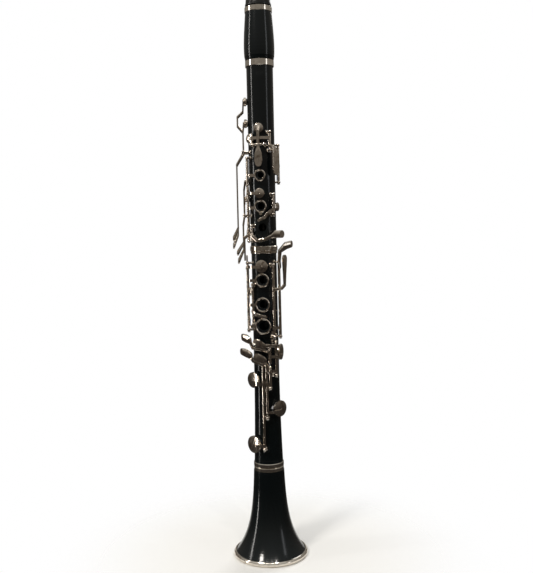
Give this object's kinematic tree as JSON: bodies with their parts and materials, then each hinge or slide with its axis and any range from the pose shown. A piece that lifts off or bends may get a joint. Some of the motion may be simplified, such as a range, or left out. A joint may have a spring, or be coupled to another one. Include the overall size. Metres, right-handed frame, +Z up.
{
  "type": "clarinet",
  "caption": "Boehm-system soprano clarinet: black bell, two joints and barrel, nickel rings and keywork on posts, with pads, rods and mouthpiece.",
  "frame": {"origin": "centre of the bell's open rim, on the surface it stands on", "axes": "+Z up the bore towards the mouthpiece, -Y the side of the finger holes, +X the side of the left little finger's levers"},
  "size_m": [0.08, 0.08, 0.666],
  "materials": {
    "body_wood": "gloss black with a faint cool tint",
    "hard_rubber": "polished black",
    "cane": "fine straight grain, dry",
    "cork": "speckled, matt",
    "tube_metal": "drawn, satin",
    "rod_steel": "drawn, satin",
    "spring_steel": "blued",
    "pad_skin": "thin translucent skin",
    "ring_nickel": "nickel plate, light wear",
    "ligature_metal": "nickel plate, light wear",
    "key_nickel": "nickel plate, light wear"
  },
  "bodies": {
    "body": {"upper_joint": "body_wood", "lower_joint": "body_wood", "middle_rings": "ring_nickel", "bell": "body_wood", "bell_rings": "ring_nickel", "tenon_corks": "cork", "register_tube": "tube_metal", "thumb_tube": "tube_metal", "thumb_rest": "key_nickel", "thumb_rest_screws": "rod_steel", "upper_posts": "key_nickel", "lower_posts": "key_nickel", "upper_rods": "rod_steel", "lower_rods": "rod_steel", "needle_springs": "spring_steel"},
    "head": {"mouthpiece": "hard_rubber", "reed": "cane", "ligature": "ligature_metal", "barrel": "body_wood", "barrel_rings": "ring_nickel"},
    "ligature_screw_upper": {"ligature_screw_upper": "ligature_metal"},
    "ligature_screw_lower": {"ligature_screw_lower": "ligature_metal"},
    "register_key": {"register_key": "key_nickel", "register_pad": "pad_skin"},
    "thumb_key": {"thumb_ring_key": "key_nickel", "thumb_pad": "pad_skin"},
    "a_key": {"a_key": "key_nickel", "a_pad": "pad_skin"},
    "g_sharp_key": {"g_sharp_key": "key_nickel", "g_sharp_pad": "pad_skin"},
    "first_ring_key": {"first_ring_key": "key_nickel"},
    "second_ring_key": {"second_ring_key": "key_nickel", "second_ring_pad": "pad_skin"},
    "side_1_key": {"side_key_1": "key_nickel", "side_pad_1": "pad_skin"},
    "side_2_key": {"side_key_2": "key_nickel", "side_pad_2": "pad_skin"},
    "side_3_key": {"side_key_3": "key_nickel", "side_pad_3": "pad_skin"},
    "side_4_key": {"side_key_4": "key_nickel", "side_pad_4": "pad_skin"},
    "left_sliver_key": {"left_sliver_key": "key_nickel", "left_sliver_pad": "pad_skin"},
    "c_sharp_key": {"c_sharp_key": "key_nickel", "c_sharp_pad": "pad_skin"},
    "right_ring_key": {"right_ring_key": "key_nickel", "right_ring_pad": "pad_skin"},
    "right_sliver_key": {"right_sliver_key": "key_nickel", "right_sliver_pad": "pad_skin"},
    "e_flat_key": {"e_flat_key": "key_nickel", "e_flat_pad": "pad_skin"},
    "f_sharp_key": {"f_sharp_key": "key_nickel", "f_sharp_pad": "pad_skin"},
    "f_key": {"f_key": "key_nickel", "f_pad": "pad_skin"},
    "f_touch_key": {"f_touch": "key_nickel"},
    "e_key": {"e_key": "key_nickel", "e_pad": "pad_skin"},
    "left_e_key": {"left_e_lever": "key_nickel"},
    "left_f_sharp_key": {"left_f_sharp_lever": "key_nickel"}
  },
  "joints": [
    {"name": "barrel_slide", "type": "slide", "parent": "body", "child": "head", "axis": [0, 0, 1], "range_m": [0, 0.003]},
    {"name": "ligature_screw_upper_turn", "type": "hinge", "parent": "head", "child": "ligature_screw_upper", "pos_m": [0, -0.0151, 0.628], "axis": [1, 0, 0], "range_deg": [-360, 360]},
    {"name": "ligature_screw_lower_turn", "type": "hinge", "parent": "head", "child": "ligature_screw_lower", "pos_m": [0, -0.0151, 0.618], "axis": [1, 0, 0], "range_deg": [-360, 360]},
    {"name": "register_turn", "type": "hinge", "parent": "body", "child": "register_key", "pos_m": [0, 0.0194, 0.47], "axis": [-1, 0, 0], "range_deg": [0, 3], "stiffness_Nm_per_rad": 0.05, "springref_deg": -6.88},
    {"name": "thumb_turn", "type": "hinge", "parent": "body", "child": "thumb_key", "pos_m": [0.01695, 0.00901, 0.4225], "axis": [0, 0, 1], "range_deg": [0, 5], "stiffness_Nm_per_rad": 0.05, "springref_deg": -6.88},
    {"name": "a_turn", "type": "hinge", "parent": "body", "child": "a_key", "pos_m": [-0.00107, -0.02037, 0.441], "axis": [0.9986, -0.0523, 0], "range_deg": [0, 4.5], "stiffness_Nm_per_rad": 0.05, "springref_deg": -6.88},
    {"name": "g_sharp_turn", "type": "hinge", "parent": "body", "child": "g_sharp_key", "pos_m": [0.01055, -0.01507, 0.445], "axis": [0, 0, 1], "range_deg": [0, 4.5], "stiffness_Nm_per_rad": 0.05, "springref_deg": -6.88},
    {"name": "first_ring_turn", "type": "hinge", "parent": "body", "child": "first_ring_key", "pos_m": [-0.01456, -0.01158, 0.3835], "axis": [0, 0, 1], "range_deg": [0, 5], "stiffness_Nm_per_rad": 0.05, "springref_deg": -6.88},
    {"name": "second_ring_turn", "type": "hinge", "parent": "body", "child": "second_ring_key", "pos_m": [-0.01456, -0.01158, 0.3835], "axis": [0, 0, 1], "range_deg": [0, 5.5], "stiffness_Nm_per_rad": 0.05, "springref_deg": -6.88},
    {"name": "side_1_turn", "type": "hinge", "parent": "body", "child": "side_1_key", "pos_m": [-0.01961, -0.00276, 0.4345], "axis": [0.1392, -0.9903, 0], "range_deg": [0, 1.7], "stiffness_Nm_per_rad": 0.05, "springref_deg": -6.88},
    {"name": "side_2_turn", "type": "hinge", "parent": "body", "child": "side_2_key", "pos_m": [-0.01961, -0.00276, 0.4345], "axis": [0.1392, -0.9903, 0], "range_deg": [0, 2.2], "stiffness_Nm_per_rad": 0.05, "springref_deg": -6.88},
    {"name": "side_3_turn", "type": "hinge", "parent": "body", "child": "side_3_key", "pos_m": [-0.01969, -0.00207, 0.366], "axis": [0.1045, -0.9945, 0], "range_deg": [0, 2.4], "stiffness_Nm_per_rad": 0.05, "springref_deg": -6.88},
    {"name": "side_4_turn", "type": "hinge", "parent": "body", "child": "side_4_key", "pos_m": [-0.01969, -0.00207, 0.366], "axis": [0.1045, -0.9945, 0], "range_deg": [0, 3.6], "stiffness_Nm_per_rad": 0.05, "springref_deg": -6.88},
    {"name": "left_sliver_turn", "type": "hinge", "parent": "body", "child": "left_sliver_key", "pos_m": [0.01278, -0.01324, 0.3775], "axis": [0, 0, 1], "range_deg": [-7, 0], "stiffness_Nm_per_rad": 0.05, "springref_deg": 6.88},
    {"name": "c_sharp_turn", "type": "hinge", "parent": "body", "child": "c_sharp_key", "pos_m": [-0.01077, -0.0143, 0.34725], "axis": [0, 0, 1], "range_deg": [0, 5], "stiffness_Nm_per_rad": 0.05, "springref_deg": -6.88},
    {"name": "right_ring_turn", "type": "hinge", "parent": "body", "child": "right_ring_key", "pos_m": [-0.01677, -0.01089, 0.27935], "axis": [0, 0, 1], "range_deg": [0, 5.5], "stiffness_Nm_per_rad": 0.05, "springref_deg": -6.88},
    {"name": "right_sliver_turn", "type": "hinge", "parent": "body", "child": "right_sliver_key", "pos_m": [-0.0116, -0.01201, 0.2705], "axis": [0, 0, 1], "range_deg": [0, 6.5], "stiffness_Nm_per_rad": 0.05, "springref_deg": -6.88},
    {"name": "e_flat_turn", "type": "hinge", "parent": "body", "child": "e_flat_key", "pos_m": [0.00578, -0.0181, 0.21625], "axis": [0, 0, 1], "range_deg": [-6, 0], "stiffness_Nm_per_rad": 0.05, "springref_deg": 6.88},
    {"name": "f_sharp_turn", "type": "hinge", "parent": "body", "child": "f_sharp_key", "pos_m": [0.00578, -0.0181, 0.193], "axis": [0, 0, 1], "range_deg": [-8, 0], "stiffness_Nm_per_rad": 0.05, "springref_deg": 6.88},
    {"name": "f_turn", "type": "hinge", "parent": "body", "child": "f_key", "pos_m": [0.00186, -0.01831, 0.17775], "axis": [0, 0, 1], "range_deg": [0, 7], "stiffness_Nm_per_rad": 0.05, "springref_deg": -6.88},
    {"name": "f_touch_turn", "type": "hinge", "parent": "body", "child": "f_touch_key", "pos_m": [0.01231, -0.01576, 0.21325], "axis": [0, 0, 1], "range_deg": [-9.4, 0], "stiffness_Nm_per_rad": 0.05, "springref_deg": 6.88},
    {"name": "e_turn", "type": "hinge", "parent": "body", "child": "e_key", "pos_m": [-0.00199, -0.01829, 0.164], "axis": [0, 0, 1], "range_deg": [-8.5, 0], "stiffness_Nm_per_rad": 0.05, "springref_deg": 6.88},
    {"name": "left_e_turn", "type": "hinge", "parent": "body", "child": "left_e_key", "pos_m": [0.01696, -0.0106, 0.276], "axis": [0, 0, 1], "range_deg": [0, 4.4], "stiffness_Nm_per_rad": 0.05, "springref_deg": -6.88},
    {"name": "left_f_sharp_turn", "type": "hinge", "parent": "body", "child": "left_f_sharp_key", "pos_m": [0.01117, -0.01537, 0.2745], "axis": [0, 0, 1], "range_deg": [0, 4.4], "stiffness_Nm_per_rad": 0.05, "springref_deg": -6.88}
  ],
  "couplings": [
    {"joint": "f_touch_turn", "follows": "f_turn", "ratio": -1.3},
    {"joint": "left_f_sharp_turn", "follows": "f_sharp_turn", "ratio": -0.5},
    {"joint": "left_e_turn", "follows": "e_turn", "ratio": -0.5},
    {"joint": "second_ring_turn", "follows": "right_ring_turn", "ratio": 1}
  ]
}
